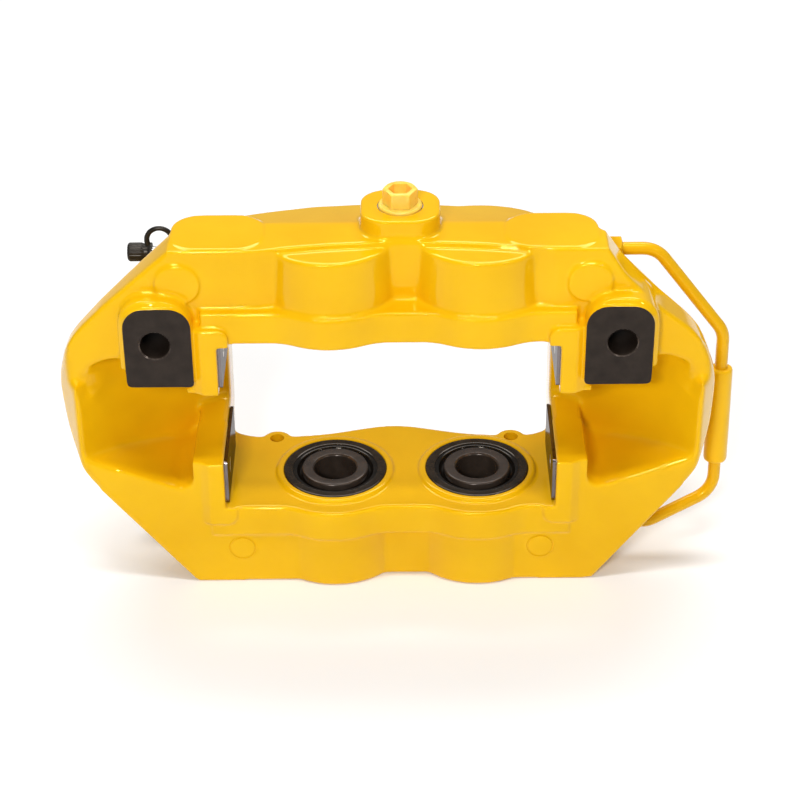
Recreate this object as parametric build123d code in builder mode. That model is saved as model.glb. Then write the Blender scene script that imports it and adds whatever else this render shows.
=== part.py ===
"""Four-piston fixed disc-brake caliper with radial mounting lugs, lying on its outboard face.

Millimetres. Origin: midway between the two mounting holes, on their machined face.
+X runs along the caliper, +Y points away from the disc's centre, +Z points inboard along the disc's axis.
Heights are stated from the disc's middle plane and turned into Z by level().
"""

import math
import os

from build123d import *

# ---------------------------------------------------------------- disc and general layout
DISC_AXIS_Y = -87.4  # the disc's axis is the vertical line X = 0, Y = this
DISC_PLANE_Z = -47.0  # middle plane of the disc
DISC_CLEARANCE_R = 170.0  # swept bore for a 330 mm disc
SLOT_HALF = 19.0  # half the gap that the disc turns in
DECK_HALF = 44.3  # from the disc's middle plane to each piston deck
HEIGHT_HALF = 88.4  # from the disc's middle plane to the outboard rest face
TOP_HALF = 89.4  # and to the inboard top face
FLANGE_T = 16.0  # thickness of the plate behind each piston deck

WINDOW_HALF = 77.9  # half the length of the pad window, before the abutment plates
COLUMN_INNER_X = 72.5
COLUMN_FACET_X = 85.0  # where the column's front starts to slope back
COLUMN_OUTER_X = 91.0
COLUMN_FRONT_Y = 1.5
COLUMN_FACET_DEPTH = 3.5
COLUMN_ROOT_Y = 30.0
COLUMN_R = 5.0  # rounds the columns' ends
COLUMN_END = 53.5  # from the disc's middle plane
BACK_Y = 66.0
BEYOND = 120.0  # a distance that lies outside the casting in any direction but X
FRONT_OUTLINE = (  # (X, height from the disc's middle plane)
    (-94, -HEIGHT_HALF), (-142, -28), (-151, -8), (-154.5, 16), (-147, 43), (-130.5, 60),
    (-98, TOP_HALF), (98, TOP_HALF), (107, 75), (124, 58), (143, 43.5), (152, 18), (150.5, -8),
    (143.5, -27), (97, -HEIGHT_HALF),
)
OUTLINE_R = 40.0  # rounds the outline's corners beyond |X| = 100
PLAN_HALF = 156.0  # half the length of the casting's plan
PLAN_CORNER = (144.0, 27.0)  # X and Y where the plan's front corners are cut off

# the outer surface clears the wheel: (radius about the disc's axis, height)
WHEEL_FLAT = (190.0, 14.0)
WHEEL_SHOULDER = (181.6, 42.2)
WHEEL_END_R = 151.5

# hollows between the columns and the casting's ends: (|X|, height), open to the slot
POCKET_OUTLINE = ((92.5, -36.5), (143, -16.5), (145.5, 5), (143, 27), (128, 33), (92.5, 33))
POCKET_R = 6.0
SLOT_END_X = 100.0

# ---------------------------------------------------------------- cylinders
PISTON_XS = (-26.8, 41.9)
PISTON_Y = 34.0
PISTON_D = 40.0
BORE_CLEARANCE = 0.05  # radial
BORE_DEPTH = 22.9  # deck to the shoulder behind the piston
RELIEF_D = 34.0
RELIEF_DEPTH = 9.0
SEAL_SIZE = 3.0
SEAL_BELOW_DECK = 8.0
SEAL_RING_GROOVE_D = PISTON_D + 2 * SEAL_SIZE
BOOT_SEAT_D = 50.0
BOOT_SEAT_DEPTH = 4.0
RIM_D = 56.5
RIM_H = 1.6
PLATE_BULGE_R = {-1: 37.5, 1: 35.5}  # of the plate behind each deck, round each piston
PLATE_FRONT_Y = {-1: 3.0, 1: 5.0}
PLATE_BLEND_R = 24.0
HOUSING_R = {-1: 34.6, 1: 32.8}
HOUSING_TAPER = 2.5  # degrees, inboard
HOUSING_STEP = 2.6  # the inboard housings stop this far below the top

# ---------------------------------------------------------------- mounting
LUG_X = 105.2
LUG_HOLE_D = 13.5
LUG_SPOT_Y = 44.0
LUG_SPOT_D = 27.0
LUG_BOTTOM_Z = -21.3
LUG_TOP_Z = 21.5
LUG_HALF_W = 16.6
LUG_FACE_T = 2.0  # how far the machined face stands off the cast lug
LUG_FACE_X = 103.9
LUG_FACE_HALF_W = 14.8
LUG_FACE_TOP_Z = 18.5
LUG_TOP_R = 13.0
LUG_FACE_TOP_R = 10.0
LUG_BOTTOM_R = 2.0
LUG_ROOT = 22.0

# ---------------------------------------------------------------- walls, measured in Y
LOWER_FRONT_Y = 4.0
UPPER_FRONT_Y = 10.5
LUG_LINE = 22.0  # height above which the front wall stands further back
VALLEY_W = 40.0
VALLEY_DEPTH = 5.0
HOLLOW_W = 134.0  # shallow hollow in the inboard front wall
HOLLOW_DEPTH = 7.5
BACK_POINTS = (
    (-77.9, 70.5), (-68, 65.6), (-50.5, 65.0), (-36.6, 66.3), (-22.4, 69.3), (-8.3, 73.0),
    (2.6, 74.1), (13.3, 72.7), (26.0, 69.3), (40.0, 66.3), (54.0, 65.0), (69.0, 65.6),
    (77.9, 70.5),
)

# ---------------------------------------------------------------- pad pins
PIN_XS = (-56.3, 59.7)
PIN_Y = 62.5
PIN_HOLE_D = 7.0
PIN_BOSS_D = 15.0
PIN_BOSS_HALF = 72.0

# ---------------------------------------------------------------- raised details on the top and front
TOP_CHAMFER = (37.0, 9.0)  # starts at this Y and falls this far by Y = 80
TOP_CHAMFER_END_Y = 80.0
TOP_PAD_XS = (-77.0, 74.0)
TOP_PAD_Y = 28.5
TOP_PAD_SIZE = (42.0, 33.0, 13.0)  # length, width and corner radius
TOP_PAD_H = 0.6
UPPER_MARK_XS = (-94.5, 90.5)
UPPER_MARK_HEIGHT = 73.0
UPPER_MARK_SIZE = (20.0, 19.0, 9.0)
UPPER_MARK_PROUD = 1.6
LOWER_MARK_XS = (-71.0, 71.5)
LOWER_MARK_HEIGHT = -68.2
LOWER_MARK_R = 6.2
LOWER_MARK_PROUD = 0.5

# ---------------------------------------------------------------- fluid ports
# half: (Y, distance from the disc's middle plane)
PIPE_PORTS = {-1: (30.0, 73.0), 1: (48.0, 69.2)}
BLEED_PORTS = {-1: (49.0, 73.0), 1: (48.0, 69.2)}
PORT_FACE_X = 96.0
PORT_THREAD_D = 10.0
PORT_THREAD_DEPTH = 14.0
PORT_BOSS_D = 17.0
PORT_BOSS_ROOT_X = 62.0
GALLERY_D = 3.5
BLEED_FACE_X = -92.0
BLEED_SPOT_D = 21.0
BLEED_CORNER = 13.9  # from the axis to both walls of the open corner
BLEED_THREAD_D = 8.0
BLEED_THREAD_DEPTH = 12.0
INLET_X = 5.6
INLET_Y = 36.4
INLET_BOSS_SIZE = (36.0, 32.5, 12.0)  # length, width and corner radius
INLET_BOSS_H = 9.0
INLET_D = 10.0
INLET_DEPTH = 19.0
INLET_CROSS_DEPTH = 17.0  # where the drilling to the gallery leaves
INLET_SPOT_D = 21.0
INLET_SPOT_DEPTH = 1.0

# ---------------------------------------------------------------- abutment plates and screws
FIT = 0.05  # radial clearance of a close fit
PLATE_T = 1.5
PLATE_GAP = 0.05
PLATE_Y = (6.0, 56.0)
PLATE_H = (20.5, 43.9)  # heights from the disc's middle plane
PLATE_SCREW_Y = 22.0
PLATE_SCREW_H = 32.0
SCREW_D = 4.4
SCREW_HOLE_D = 4.5
SCREW_DEPTH = 9.0
SCREW_HEAD_D = 7.6  # countersunk, just below the plate's face
SCREW_HEAD_RECESS = 0.1
SCREW_SOCKET_FLATS = 2.5
SCREW_SOCKET_DEPTH = 1.0

# ---------------------------------------------------------------- pistons, seals and boots
# profiles are (radius, height above the deck towards the disc)
PISTON_TRAVEL = 10.0
PISTON_PROFILE = (
    (0, -21.4), (18.8, -21.4), (20, -20.2), (20, -4.2), (15, -4.2), (15, -1.0), (16, -1.0),
    (16, 1.6), (15.4, 2.2), (10.7, 2.2), (10.2, 1.7), (10.2, -16.4), (0, -16.4),
)
SEAL_FIT = 0.03
BOOT_PROFILE = (
    (15.3, -3.9), (19.4, -3.9), (19.4, -1.4), (21.0, -0.6), (22.6, -0.6), (22.6, -2.2),
    (24.0, -2.2), (24.0, 0.85), (18.0, 0.85), (17.4, 0.2), (17.4, -1.3), (15.3, -1.3),
)
RING_PROFILE = (
    (24.1, -2.3), (24.95, -2.3), (24.95, 1.4), (24.7, 1.6), (21.4, 1.6), (21.4, 1.0), (24.1, 1.0),
)

# ---------------------------------------------------------------- crossover pipe
PIPE_OD = 6.0
PIPE_ID = 3.2
PIPE_BEND_R = 13.0
PIPE_START_X = PORT_FACE_X - 9
PIPE_CORNERS = (  # (X, Y, height from the disc's middle plane), port to port
    (PIPE_START_X, PIPE_PORTS[1][0], PIPE_PORTS[1][1]),
    (124.0, PIPE_PORTS[1][0], PIPE_PORTS[1][1]),
    (158.0, 46.0, 25.2),
    (158.0, 38.0, -60.0),
    (126.0, PIPE_PORTS[-1][0], -PIPE_PORTS[-1][1]),
    (PIPE_START_X, PIPE_PORTS[-1][0], -PIPE_PORTS[-1][1]),
)
SLEEVE_OD = 11.4
SLEEVE_ENDS = (0.22, 0.80)  # shares of the long straight run
NUT_ACROSS_FLATS = 11.0
NUT_HEX_L = 12.0

# ---------------------------------------------------------------- bleed screws and caps
# distances are measured outward from the bleed port's face
BLEED_HEX_FLATS = 10.0
BLEED_HEX = (0.3, 6.5)
NIPPLE_D = 5.6
NIPPLE_END = 26.0
BLEED_BORE_D = 2.0
CAP_OD = 8.8
CAP_ID = 5.7
CAP_ENDS = (17.0, 28.5)
LOOP_OD = 12.8
LOOP_ENDS = (7.6, 11.2)
STRAP_W = 3.4
STRAP_T = 2.2
STRAP_R = 7.0
STRAP_DISTANCE = 13.4  # its centre, outward from the port's face
STRAP_LIFT = 6.3  # and away from the disc, from the screw's axis

# ---------------------------------------------------------------- shipping plug
PLUG_SHANK_L = 8.0
PLUG_FLANGE_D = 20.0
PLUG_FLANGE_T = 2.2
PLUG_HEX_FLATS = 14.0
PLUG_H = 8.6
PLUG_HOLLOW_D = 10.6
PLUG_HOLLOW_DEPTH = 5.4

os.makedirs("parts", exist_ok=True)


def level(height):
    """Z of a height measured from the disc's middle plane."""
    return DISC_PLANE_Z + height


def save(piece, name):
    """Label a finished piece and write it as its own STEP file."""
    piece.part.label = name
    export_step(piece.part, f"parts/{name}.step")


def front_plane(y):
    """The front-view sketch plane moved to a given Y."""
    return FRONT_VIEW.offset(FRONT_VIEW.origin.Y - y)


def z_cylinder(x, y, z_low, z_high, diameter, mode=Mode.ADD):
    """A vertical cylinder between two heights."""
    with BuildSketch(Plane.XY.offset(z_low), mode=Mode.PRIVATE) as disc:
        with Locations((x, y)):
            Circle(diameter / 2)
    return extrude(disc.sketch, amount=z_high - z_low, mode=mode)


def x_cone(y, z, x_face, x_tip, face_d, tip_d, mode=Mode.ADD):
    """A cone along X between two stations."""
    axial_plane = Plane(origin=(0, y, z), x_dir=(1, 0, 0), z_dir=(0, -1, 0))
    with BuildSketch(axial_plane, mode=Mode.PRIVATE) as section:
        Polygon((x_face, 0), (x_face, face_d / 2), (x_tip, tip_d / 2), (x_tip, 0), align=None)
    return revolve(section.sketch, axis=Axis((0, y, z), (1, 0, 0)), mode=mode)


def x_cylinder(y, z, x_low, x_high, diameter, mode=Mode.ADD):
    """A cylinder along X between two stations."""
    with BuildSketch(Plane.YZ.offset(x_low), mode=Mode.PRIVATE) as disc:
        with Locations((y, z)):
            Circle(diameter / 2)
    return extrude(disc.sketch, amount=x_high - x_low, mode=mode)


FRONT_VIEW = Plane(origin=(0, -20, DISC_PLANE_Z), x_dir=(1, 0, 0), z_dir=(0, -1, 0))
DEEP = 220.0  # further than the casting is deep
SUNK = 4.0  # how far a raised detail is rooted in the casting
SIDES = ((-1, "outboard"), (1, "inboard"))
ENDS = ((0, "left"), (1, "right"))


# ================================================================ tools that shape the casting
def silhouette():
    """Front-view outline of the casting, heights from the disc's middle plane."""
    with BuildSketch(FRONT_VIEW) as outline:
        with BuildLine():
            Polyline(*FRONT_OUTLINE, close=True)
        make_face()
        fillet([v for v in outline.vertices() if abs(v.X) > 100], radius=OUTLINE_R)
    return outline.sketch


def wheel_envelope():
    """Half profile of the outer surface, which is turned about the disc's axis to clear the wheel."""
    turned_plane = Plane(
        origin=(0, DISC_AXIS_Y, DISC_PLANE_Z), x_dir=(1, 0, 0), z_dir=(0, -1, 0)
    )
    inner_r = 20  # anywhere between the disc's axis and the casting
    with BuildSketch(turned_plane) as profile:
        with BuildLine():
            (flat_r, flat_h), (shoulder_r, shoulder_h) = WHEEL_FLAT, WHEEL_SHOULDER
            flat = Line((flat_r, -flat_h), (flat_r, flat_h))
            upper = TangentArc(flat @ 1, (shoulder_r, shoulder_h), tangent=(0, 1))
            upper_slope = Line(upper @ 1, (WHEEL_END_R, TOP_HALF))
            top = Line(upper_slope @ 1, (inner_r, TOP_HALF))
            inner = Line(top @ 1, (inner_r, -HEIGHT_HALF))
            bottom = Line(inner @ 1, (WHEEL_END_R, -HEIGHT_HALF))
            lower_slope = Line(bottom @ 1, (shoulder_r, -shoulder_h))
            TangentArc(flat @ 0, lower_slope @ 1, tangent=(0, -1))
        make_face()
    return profile.sketch


def plate_outline(half):
    """Plan of the plate behind a deck: a straight front with a bulge round each piston."""
    start = level(DECK_HALF) if half > 0 else level(-DECK_HALF - FLANGE_T)
    front_y = PLATE_FRONT_Y[half]
    with BuildSketch(Plane.XY.offset(start)) as plan:
        with Locations((0, (front_y + BACK_Y) / 2)):
            Rectangle(2 * (WINDOW_HALF + 7), BACK_Y - front_y)
        with Locations(*[(x, PISTON_Y) for x in PISTON_XS]):
            Circle(PLATE_BULGE_R[half])
        notches = [v for v in plan.vertices() if abs(v.X) < WINDOW_HALF and v.Y < PISTON_Y]
        fillet(notches, radius=PLATE_BLEND_R)
    return plan.sketch


def pocket_outline(side):
    """Front-view outline of the hollow between a column and the end of the casting."""
    with BuildSketch(FRONT_VIEW) as outline:
        with BuildLine():
            Polyline(*[(side * x, height) for x, height in POCKET_OUTLINE], close=True)
        make_face()
        fillet(outline.vertices(), radius=POCKET_R)
    return outline.sketch


# ================================================================ the casting
with BuildPart() as disc_sweep:
    z_cylinder(0, DISC_AXIS_Y, level(-DECK_HALF), level(DECK_HALF), 2 * DISC_CLEARANCE_R)

with BuildPart() as pockets:
    for side in (-1, 1):
        extrude(pocket_outline(side), amount=-DEEP)
    with BuildSketch(FRONT_VIEW):
        Rectangle(2 * SLOT_END_X, 2 * SLOT_HALF)
    extrude(amount=-DEEP)
    add(disc_sweep.part, mode=Mode.INTERSECT)

with BuildPart() as columns:
    for side in (-1, 1):
        with BuildSketch(Plane.XY.offset(level(-COLUMN_END))):
            with BuildLine():
                Polyline(
                    (side * COLUMN_INNER_X, COLUMN_FRONT_Y),
                    (side * COLUMN_FACET_X, COLUMN_FRONT_Y),
                    (side * COLUMN_OUTER_X, COLUMN_FRONT_Y + COLUMN_FACET_DEPTH),
                    (side * COLUMN_OUTER_X, COLUMN_ROOT_Y),
                    (side * COLUMN_INNER_X, COLUMN_ROOT_Y),
                    close=True,
                )
            make_face()
        extrude(amount=2 * COLUMN_END)
    with BuildSketch(FRONT_VIEW) as column_fronts:
        for side in (-1, 1):
            with Locations((side * (COLUMN_INNER_X + COLUMN_OUTER_X) / 2, 0)):
                RectangleRounded(COLUMN_OUTER_X - COLUMN_INNER_X, 2 * COLUMN_END, COLUMN_R)
    extrude(column_fronts.sketch, amount=-DEEP, mode=Mode.INTERSECT)

with BuildPart() as caliper_body:
    # envelope: front silhouette, plan with chamfered front corners, and the turned outer surface
    revolve(wheel_envelope(), axis=Axis((0, DISC_AXIS_Y, 0), (0, 0, 1)))
    extrude(silhouette(), amount=-DEEP, mode=Mode.INTERSECT)
    with BuildSketch(Plane.XY.offset(level(-HEIGHT_HALF))):
        with BuildLine():
            corner_x, corner_y = PLAN_CORNER
            Polyline(
                (-corner_x, LOWER_FRONT_Y), (corner_x, LOWER_FRONT_Y), (PLAN_HALF, corner_y),
                (PLAN_HALF, BEYOND), (-PLAN_HALF, BEYOND), (-PLAN_HALF, corner_y), close=True,
            )
        make_face()
    extrude(amount=HEIGHT_HALF + TOP_HALF, mode=Mode.INTERSECT)

    # the inboard half's front wall stands further back
    with BuildSketch(front_plane(LOWER_FRONT_Y)):
        with Locations((0, (LUG_LINE + TOP_HALF) / 2)):
            Rectangle(2 * PLAN_HALF, TOP_HALF - LUG_LINE)
    extrude(amount=-(UPPER_FRONT_Y - LOWER_FRONT_Y), mode=Mode.SUBTRACT)

    # valleys between the cylinder housings
    valley_x = sum(PISTON_XS) / 2
    with BuildSketch(Plane.XY.offset(level(-HEIGHT_HALF))):
        with Locations((valley_x, LOWER_FRONT_Y)):
            Rectangle(VALLEY_W, 2 * VALLEY_DEPTH)
    extrude(amount=HEIGHT_HALF - DECK_HALF - FLANGE_T, mode=Mode.SUBTRACT)
    with BuildSketch(Plane.XY.offset(level(DECK_HALF + FLANGE_T))):
        with BuildLine():
            hollow = ThreePointArc(
                (valley_x - HOLLOW_W / 2, UPPER_FRONT_Y),
                (valley_x, UPPER_FRONT_Y + HOLLOW_DEPTH),
                (valley_x + HOLLOW_W / 2, UPPER_FRONT_Y),
            )
            Line(hollow @ 1, hollow @ 0)
        make_face()
    extrude(amount=TOP_HALF - DECK_HALF - FLANGE_T, mode=Mode.SUBTRACT)

    # plates behind the two piston decks
    for half in (-1, 1):
        add(plate_outline(half))
        extrude(amount=FLANGE_T)

    # cylinder housings
    with BuildSketch(Plane.XY.offset(level(-DECK_HALF - FLANGE_T))):
        with Locations(*[(x, PISTON_Y) for x in PISTON_XS]):
            Circle(HOUSING_R[-1])
    extrude(amount=-(HEIGHT_HALF - DECK_HALF - FLANGE_T))
    with BuildSketch(Plane.XY.offset(level(DECK_HALF + FLANGE_T))):
        with Locations(*[(x, PISTON_Y) for x in PISTON_XS]):
            Circle(HOUSING_R[1])
    extrude(amount=TOP_HALF - HOUSING_STEP - DECK_HALF - FLANGE_T, taper=HOUSING_TAPER)

    # columns that carry the pads, one pair in each half
    add(columns.part)

    # mounting lugs, standing proud of the inboard front wall, each with a machined face
    for side in (-1, 1):
        with BuildSketch(Plane.XZ.offset(-LUG_FACE_T)) as lug:
            with Locations((side * LUG_X, (LUG_TOP_Z + LUG_BOTTOM_Z) / 2)):
                Rectangle(2 * LUG_HALF_W, LUG_TOP_Z - LUG_BOTTOM_Z)
            fillet(lug.vertices().group_by(Axis.Y)[-1], radius=LUG_TOP_R)
            fillet(lug.vertices().group_by(Axis.Y)[0], radius=LUG_BOTTOM_R)
        extrude(amount=-LUG_ROOT)
        with BuildSketch(Plane.XZ) as machined:
            with Locations((side * LUG_FACE_X, (LUG_FACE_TOP_Z + LUG_BOTTOM_Z) / 2)):
                Rectangle(2 * LUG_FACE_HALF_W, LUG_FACE_TOP_Z - LUG_BOTTOM_Z)
            fillet(machined.vertices().group_by(Axis.Y)[-1], radius=LUG_FACE_TOP_R)
            fillet(machined.vertices().group_by(Axis.Y)[0], radius=LUG_BOTTOM_R)
        extrude(amount=-LUG_FACE_T - 1)

    # back between the arms: nearly flat, swelling midway between the two pistons
    with BuildSketch(Plane.XY.offset(level(-HEIGHT_HALF - 1))):
        with BuildLine():
            back = Spline(*BACK_POINTS)
            Polyline(back @ 1, (WINDOW_HALF, BEYOND), (-WINDOW_HALF, BEYOND), back @ 0)
        make_face()
    extrude(amount=HEIGHT_HALF + TOP_HALF + 2, mode=Mode.SUBTRACT)

    # pad window and the hollows that the disc turns in
    with BuildSketch(FRONT_VIEW):
        Rectangle(2 * WINDOW_HALF, 2 * DECK_HALF)
    extrude(amount=-DEEP, mode=Mode.SUBTRACT)
    add(pockets.part, mode=Mode.SUBTRACT)

    # chamfered back edge of the inboard top
    chamfer_y, chamfer_fall = TOP_CHAMFER
    with BuildSketch(Plane.YZ.offset(-BEYOND)):
        with BuildLine():
            Polyline(
                (chamfer_y, level(TOP_HALF)), (TOP_CHAMFER_END_Y, level(TOP_HALF)),
                (TOP_CHAMFER_END_Y, level(TOP_HALF - chamfer_fall)), close=True,
            )
        make_face()
    extrude(amount=2 * BEYOND, mode=Mode.SUBTRACT)

    # pad-pin bosses and the raised rims round the bores
    for half in (-1, 1):
        low, high = sorted((level(half * DECK_HALF), level(half * PIN_BOSS_HALF)))
        for x in PIN_XS:
            z_cylinder(x, PIN_Y, low, high, PIN_BOSS_D)
        low, high = sorted((level(half * DECK_HALF), level(half * (DECK_HALF - RIM_H))))
        for x in PISTON_XS:
            z_cylinder(x, PISTON_Y, low, high, RIM_D)

    # side port bosses for the crossover pipe and the bleed screws
    for half in (-1, 1):
        y, height = PIPE_PORTS[half]
        x_cylinder(y, level(half * height), PORT_BOSS_ROOT_X, PORT_FACE_X, PORT_BOSS_D)
        y, height = BLEED_PORTS[half]
        x_cylinder(y, level(half * height), BLEED_FACE_X, -PORT_BOSS_ROOT_X, PORT_BOSS_D)

    # inlet boss and machined corner pads on the inboard top
    with BuildSketch(Plane.XY.offset(level(TOP_HALF - SUNK))):
        with Locations((INLET_X, INLET_Y)):
            RectangleRounded(*INLET_BOSS_SIZE)
    extrude(amount=INLET_BOSS_H + SUNK)
    with BuildSketch(Plane.XY.offset(level(TOP_HALF - SUNK))):
        with Locations(*[(x, TOP_PAD_Y) for x in TOP_PAD_XS]):
            RectangleRounded(*TOP_PAD_SIZE)
    extrude(amount=TOP_PAD_H + SUNK)

    # raised casting marks on the front walls
    with BuildSketch(front_plane(UPPER_FRONT_Y - UPPER_MARK_PROUD)):
        with Locations(*[(x, UPPER_MARK_HEIGHT) for x in UPPER_MARK_XS]):
            RectangleRounded(*UPPER_MARK_SIZE)
    extrude(amount=-UPPER_MARK_PROUD - SUNK)
    with BuildSketch(front_plane(LOWER_FRONT_Y - LOWER_MARK_PROUD)):
        with Locations(*[(x, LOWER_MARK_HEIGHT) for x in LOWER_MARK_XS]):
            Circle(LOWER_MARK_R)
    extrude(amount=-LOWER_MARK_PROUD - SUNK)

    # ---------------- machining
    for half in (-1, 1):
        deck = half * DECK_HALF
        for x in PISTON_XS:
            steps = (
                (BOOT_SEAT_D, deck - half * RIM_H, deck + half * (BOOT_SEAT_DEPTH - RIM_H)),
                (PISTON_D + 2 * BORE_CLEARANCE, deck, deck + half * BORE_DEPTH),
                (RELIEF_D, deck, deck + half * (BORE_DEPTH + RELIEF_DEPTH)),
                (
                    SEAL_RING_GROOVE_D,
                    deck + half * SEAL_BELOW_DECK,
                    deck + half * (SEAL_BELOW_DECK + SEAL_SIZE),
                ),
            )
            for diameter, start, end in steps:
                low, high = sorted((level(start), level(end)))
                z_cylinder(x, PISTON_Y, low, high, diameter, mode=Mode.SUBTRACT)
        for x in PIN_XS:
            low, high = sorted((level(half * (DECK_HALF - 5)), level(half * PIN_BOSS_HALF)))
            z_cylinder(x, PIN_Y, low, high, PIN_HOLE_D, mode=Mode.SUBTRACT)
        # both drillings meet in the chamber behind the left piston
        drillings = (
            (PIPE_PORTS, PISTON_XS[0], PORT_FACE_X + 1, GALLERY_D),
            (PIPE_PORTS, PORT_FACE_X, BEYOND, PORT_BOSS_D),
            (PIPE_PORTS, PORT_FACE_X - PORT_THREAD_DEPTH, PORT_FACE_X + 1, PORT_THREAD_D),
            (BLEED_PORTS, BLEED_FACE_X - 1, PISTON_XS[0], GALLERY_D),
            (BLEED_PORTS, -2 * BEYOND, BLEED_FACE_X, BLEED_SPOT_D),
            (BLEED_PORTS, BLEED_FACE_X - 1, BLEED_FACE_X + BLEED_THREAD_DEPTH, BLEED_THREAD_D),
        )
        for ports, start, end, diameter in drillings:
            y, height = ports[half]
            x_cylinder(y, level(half * height), start, end, diameter, mode=Mode.SUBTRACT)

    # open corner that a spanner reaches the outboard bleed screw through
    y, height = BLEED_PORTS[-1]
    with BuildSketch(Plane.YZ.offset(BLEED_FACE_X)):
        with BuildLine():
            Polyline(
                (y - BLEED_CORNER, level(BLEED_CORNER - height)),
                (BEYOND, level(BLEED_CORNER - height)),
                (BEYOND, level(-HEIGHT_HALF - 1)),
                (y - BLEED_CORNER, level(-HEIGHT_HALF - 1)),
                close=True,
            )
        make_face()
    extrude(amount=-BEYOND, mode=Mode.SUBTRACT)

    # flat seats for the pad-pin heads, outboard only: the inboard holes are blind
    for x in PIN_XS:
        z_cylinder(
            x, PIN_Y, level(-BEYOND), level(-PIN_BOSS_HALF), PIN_BOSS_D, mode=Mode.SUBTRACT
        )

    # threaded holes for the abutment plate screws
    for side in (-1, 1):
        for half in (-1, 1):
            start, end = sorted((side * (WINDOW_HALF - 1), side * (WINDOW_HALF + SCREW_DEPTH + 0.5)))
            x_cylinder(
                PLATE_SCREW_Y, level(half * PLATE_SCREW_H), start, end, SCREW_HOLE_D,
                mode=Mode.SUBTRACT,
            )

    for side in (-1, 1):
        with BuildSketch(Plane.XZ.offset(1)):
            with Locations((side * LUG_X, 0)):
                Circle(LUG_HOLE_D / 2)
        extrude(amount=-BEYOND, mode=Mode.SUBTRACT)
        with BuildSketch(Plane.XZ.offset(-LUG_SPOT_Y)):
            with Locations((side * LUG_X, 0)):
                Circle(LUG_SPOT_D / 2)
        extrude(amount=-BEYOND, mode=Mode.SUBTRACT)

    top = level(TOP_HALF) + INLET_BOSS_H
    z_cylinder(INLET_X, INLET_Y, top - INLET_SPOT_DEPTH, top + 1, INLET_SPOT_D, mode=Mode.SUBTRACT)
    z_cylinder(INLET_X, INLET_Y, top - INLET_DEPTH, top, INLET_D, mode=Mode.SUBTRACT)
    inlet_foot = Vector(INLET_X, INLET_Y, top - INLET_CROSS_DEPTH)
    gallery_y, gallery_height = PIPE_PORTS[1]
    cross_drill = Vector(INLET_X, gallery_y, level(gallery_height)) - inlet_foot
    with BuildSketch(Plane(origin=inlet_foot, z_dir=cross_drill)):
        Circle(GALLERY_D / 2)
    extrude(amount=cross_drill.length, mode=Mode.SUBTRACT)
save(caliper_body, "caliper_body")


# ================================================================ pistons, seals, boots and rings
def turned(profile, x, half):
    """Revolve a (radius, height above the deck) profile about one piston's axis."""
    deck_plane = Plane(
        origin=(x, PISTON_Y, level(half * DECK_HALF)), x_dir=(1, 0, 0), z_dir=(0, half, 0)
    )
    with BuildPart() as piece:
        with BuildSketch(deck_plane):
            Polygon(*profile, align=None)
        revolve(axis=Axis((x, PISTON_Y, 0), (0, 0, 1)))
    return piece


seal_inner = PISTON_D / 2 + SEAL_FIT
seal_outer = SEAL_RING_GROOVE_D / 2 - SEAL_FIT
seal_top = -SEAL_BELOW_DECK - SEAL_FIT
seal_bottom = -SEAL_BELOW_DECK - SEAL_SIZE + SEAL_FIT
SEAL_PROFILE = (
    (seal_inner, seal_bottom),
    (seal_outer, seal_bottom),
    (seal_outer, seal_top),
    (seal_inner, seal_top),
)
for half, half_name in SIDES:
    for index, end_name in ENDS:
        place = f"{half_name}_{end_name}"
        save(turned(PISTON_PROFILE, PISTON_XS[index], half), f"piston_{place}")
        save(turned(SEAL_PROFILE, PISTON_XS[index], half), f"piston_seal_{place}")
        save(turned(BOOT_PROFILE, PISTON_XS[index], half), f"dust_boot_{place}")
        save(turned(RING_PROFILE, PISTON_XS[index], half), f"boot_ring_{place}")


# ================================================================ abutment plates and their screws
for half, half_name in SIDES:
    for side, end_name in ((-1, "left"), (1, "right")):
        inner, outer = WINDOW_HALF - PLATE_GAP - PLATE_T, WINDOW_HALF - PLATE_GAP
        with BuildPart() as abutment_plate:
            with BuildSketch(Plane.YZ.offset(side * inner)) as face:
                with Locations((sum(PLATE_Y) / 2, level(half * sum(PLATE_H) / 2))):
                    Rectangle(PLATE_Y[1] - PLATE_Y[0], PLATE_H[1] - PLATE_H[0])
                fillet(face.vertices(), radius=1.5)
            extrude(amount=side * (outer - inner))
            x_cone(
                PLATE_SCREW_Y, level(half * PLATE_SCREW_H), side * inner, side * outer,
                SCREW_HEAD_D + 4 * FIT, SCREW_HOLE_D, mode=Mode.SUBTRACT,
            )
        save(abutment_plate, f"abutment_plate_{half_name}_{end_name}")

with BuildPart() as abutment_screws:
    head_face = WINDOW_HALF - PLATE_GAP - PLATE_T + SCREW_HEAD_RECESS
    head_end = WINDOW_HALF - PLATE_GAP
    for side in (-1, 1):
        for half in (-1, 1):
            z = level(half * PLATE_SCREW_H)
            x_cone(
                PLATE_SCREW_Y, z, side * head_face, side * head_end,
                SCREW_HEAD_D - 4 * FIT, SCREW_D,
            )
            start, end = sorted((side * (head_end - 0.2), side * (WINDOW_HALF + SCREW_DEPTH)))
            x_cylinder(PLATE_SCREW_Y, z, start, end, SCREW_D)
            start, end = sorted((side * (head_face - 1), side * (head_face + SCREW_SOCKET_DEPTH)))
            with BuildSketch(Plane.YZ.offset(start), mode=Mode.PRIVATE) as socket:
                with Locations((PLATE_SCREW_Y, z)):
                    RegularPolygon(SCREW_SOCKET_FLATS / math.sqrt(3), 6)
            extrude(socket.sketch, amount=end - start, mode=Mode.SUBTRACT)
save(abutment_screws, "abutment_screws")


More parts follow.
